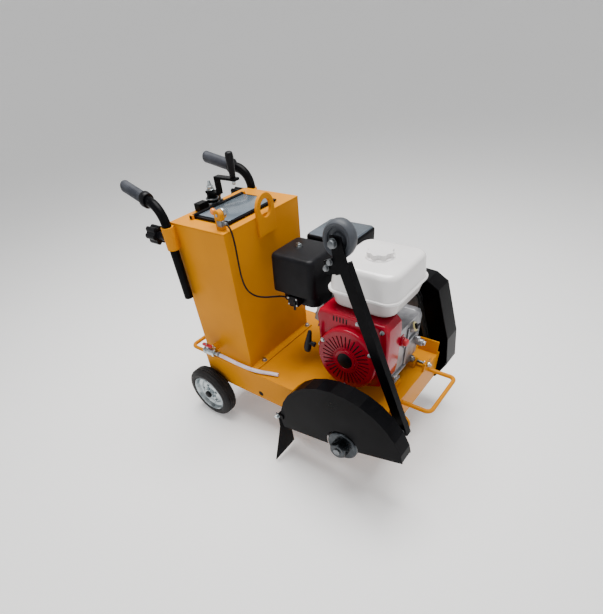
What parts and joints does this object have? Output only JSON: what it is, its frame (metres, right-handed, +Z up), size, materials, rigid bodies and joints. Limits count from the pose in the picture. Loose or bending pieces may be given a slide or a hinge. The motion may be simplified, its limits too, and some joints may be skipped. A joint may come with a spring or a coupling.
{
  "type": "walk-behind concrete saw",
  "caption": "Walk-behind floor saw with a petrol engine on a wheeled deck, water tank, blade guard, crank-screw depth control, folding pointer and adjustable handles.",
  "frame": {"origin": "on the ground, under the middle of the machine's overall plan", "axes": "+X forward in the cutting direction, +Y to the machine's left, +Z up"},
  "size_m": [1.1752, 0.728, 0.966],
  "materials": {
    "yellow_paint": "gloss",
    "black_paint": "satin",
    "black_plastic": "satin",
    "red_paint": "gloss",
    "red_plastic": "satin",
    "white_paint": "gloss",
    "zinc": "satin",
    "steel": "satin",
    "cast_aluminium": "cast",
    "tyre_rubber": "matte",
    "grip_rubber": "matte",
    "belt_rubber": "matte",
    "grey_plastic": "satin",
    "hose_plastic": "gloss",
    "orange_plastic": "gloss"
  },
  "bodies": {
    "chassis": {"deck_plate": "yellow_paint", "deck_skirts": "yellow_paint", "bumper_bars": "yellow_paint", "tank_shell": "yellow_paint", "tank_top": "yellow_paint", "lifting_eye": "yellow_paint", "valve_body": "zinc", "rear_axle": "steel", "crank_bearing": "black_paint", "handle_sleeves": "yellow_paint", "shaft_bearings": "cast_aluminium", "v_belts": "belt_rubber", "blade_guard": "black_paint", "belt_guard": "black_paint", "engine_base": "yellow_paint", "engine_block": "cast_aluminium", "side_cover": "cast_aluminium", "fan_shroud": "red_paint", "recoil_cover": "red_paint", "fuel_tank": "white_paint", "air_cleaner": "black_plastic", "air_cleaner_base": "black_plastic", "muffler": "black_paint", "carburettor": "cast_aluminium", "hex_bolts": "zinc", "water_hose": "hose_plastic", "throttle_cable": "black_plastic"},
    "engine_rotor": {"crankshaft": "steel", "flywheel": "cast_aluminium", "drive_pulley": "steel"},
    "blade_spindle": {"blade_shaft": "steel", "driven_pulley": "steel"},
    "blade_clamp": {"outer_flange": "steel", "blade_nut": "zinc"},
    "rear_wheel_right": {"rear_tyre_right": "tyre_rubber", "rear_rim_right": "zinc"},
    "rear_wheel_left": {"rear_tyre_left": "tyre_rubber", "rear_rim_left": "zinc"},
    "lift": {"lift_frame": "black_paint"},
    "front_wheel_right": {"front_wheel_right": "tyre_rubber"},
    "front_wheel_left": {"front_wheel_left": "tyre_rubber"},
    "nut": {"lift_nut": "steel"},
    "crank": {"lift_crank": "black_paint"},
    "crank_handle": {"crank_grip": "black_plastic"},
    "handle_right": {"handle_right": "black_paint", "grip_right": "grip_rubber"},
    "handle_left": {"handle_left": "black_paint", "grip_left": "grip_rubber"},
    "knob_right": {"knob_right": "black_plastic"},
    "knob_left": {"knob_left": "black_plastic"},
    "lid": {"tank_lid": "black_paint"},
    "throttle": {"throttle_lever": "orange_plastic"},
    "valve": {"valve_lever": "red_plastic"},
    "pointer": {"pointer_arm": "black_paint"},
    "guide_wheel": {"pointer_wheel": "grey_plastic"},
    "flap": {"guard_flap": "black_paint"},
    "recoil_pull": {"recoil_grip": "black_plastic"},
    "filler_cap": {"fuel_cap": "white_paint"},
    "stop_switch": {"stop_switch": "red_plastic"},
    "choke": {"choke_lever": "black_plastic"}
  },
  "joints": [
    {"name": "engine_turn", "type": "hinge", "parent": "chassis", "child": "engine_rotor", "pos_m": [0.2696, 0, 0.455], "axis": [0, 1, 0], "continuous": true},
    {"name": "blade_turn", "type": "hinge", "parent": "chassis", "child": "blade_spindle", "pos_m": [0.3636, 0, 0.231], "axis": [0, 1, 0], "continuous": true},
    {"name": "clamp_slide", "type": "slide", "parent": "blade_spindle", "child": "blade_clamp", "axis": [0, -1, 0], "range_m": [0, 0.09]},
    {"name": "rear_wheel_right_spin", "type": "hinge", "parent": "chassis", "child": "rear_wheel_right", "pos_m": [-0.3688, -0.226, 0.12], "axis": [0, 1, 0], "continuous": true},
    {"name": "rear_wheel_left_spin", "type": "hinge", "parent": "chassis", "child": "rear_wheel_left", "pos_m": [-0.3688, 0.274, 0.12], "axis": [0, 1, 0], "continuous": true},
    {"name": "crank_turn", "type": "hinge", "parent": "chassis", "child": "crank", "pos_m": [-0.3644, -0.021, 0], "axis": [0, 0, 1], "range_deg": [-540, 2520]},
    {"name": "nut_travel", "type": "slide", "parent": "chassis", "child": "nut", "axis": [0, 0, -1], "range_m": [-0.0185, 0.086]},
    {"name": "lift_swing", "type": "hinge", "parent": "chassis", "child": "lift", "pos_m": [-0.0914, 0, 0.2], "axis": [0, -1, 0], "range_deg": [-3.9, 17.6]},
    {"name": "crank_grip_spin", "type": "hinge", "parent": "crank", "child": "crank_handle", "pos_m": [-0.24747, -0.01692, 0], "axis": [0, 0, 1], "continuous": true},
    {"name": "front_wheel_right_spin", "type": "hinge", "parent": "lift", "child": "front_wheel_right", "pos_m": [0.1886, -0.226, 0.07], "axis": [0, 1, 0], "continuous": true},
    {"name": "front_wheel_left_spin", "type": "hinge", "parent": "lift", "child": "front_wheel_left", "pos_m": [0.1886, 0.274, 0.07], "axis": [0, 1, 0], "continuous": true},
    {"name": "handle_right_height", "type": "slide", "parent": "chassis", "child": "handle_right", "axis": [0, 0, 1], "range_m": [0, 0.15]},
    {"name": "knob_right_turn", "type": "hinge", "parent": "chassis", "child": "knob_right", "pos_m": [-0.3804, -0.229, 0.765], "axis": [1, 0, 0], "range_deg": [0, 360]},
    {"name": "handle_left_height", "type": "slide", "parent": "chassis", "child": "handle_left", "axis": [0, 0, 1], "range_m": [0, 0.15]},
    {"name": "knob_left_turn", "type": "hinge", "parent": "chassis", "child": "knob_left", "pos_m": [-0.3804, 0.198, 0.765], "axis": [1, 0, 0], "range_deg": [0, 360]},
    {"name": "lid_hinge", "type": "hinge", "parent": "chassis", "child": "lid", "pos_m": [-0.3334, 0, 0.812], "axis": [0, -1, 0], "range_deg": [0, 30]},
    {"name": "throttle_turn", "type": "hinge", "parent": "chassis", "child": "throttle", "pos_m": [-0.1704, -0.166, 0.848], "axis": [0, 1, 0], "range_deg": [0, 70]},
    {"name": "valve_turn", "type": "hinge", "parent": "chassis", "child": "valve", "pos_m": [-0.3254, -0.253, 0.348], "axis": [0, 0, 1], "range_deg": [0, 90]},
    {"name": "pointer_swing", "type": "hinge", "parent": "chassis", "child": "pointer", "pos_m": [0.5176, -0.166, 0.283], "axis": [0, 1, 0], "range_deg": [0, 136]},
    {"name": "guide_wheel_spin", "type": "hinge", "parent": "pointer", "child": "guide_wheel", "pos_m": [0.25249, -0.166, 0.84], "axis": [0, 1, 0], "continuous": true},
    {"name": "flap_swing", "type": "hinge", "parent": "chassis", "child": "flap", "pos_m": [0.0746, -0.309, 0.232], "axis": [0, 1, 0], "range_deg": [0, 80]},
    {"name": "recoil_pull_out", "type": "slide", "parent": "chassis", "child": "recoil_pull", "axis": [-1, 0, 0], "range_m": [0, 0.2], "stiffness_N_per_m": 80},
    {"name": "fuel_cap_turn", "type": "hinge", "parent": "chassis", "child": "filler_cap", "pos_m": [0.2856, 0.0175, 0.738], "axis": [0, 0, 1], "range_deg": [0, 90]},
    {"name": "stop_switch_turn", "type": "hinge", "parent": "chassis", "child": "stop_switch", "pos_m": [0.4166, -0.02, 0.504], "axis": [1, 0, 0], "range_deg": [0, 30]},
    {"name": "choke_turn", "type": "hinge", "parent": "chassis", "child": "choke", "pos_m": [0.0256, -0.09, 0.572], "axis": [0, 1, 0], "range_deg": [0, 60]}
  ],
  "couplings": [
    {"joint": "blade_turn", "follows": "engine_turn", "ratio": 1.1263},
    {"joint": "nut_travel", "follows": "crank_turn", "m_per_rad": 0.0019099},
    {"joint": "lift_swing", "follows": "crank_turn", "ratio": 0.00687}
  ]
}
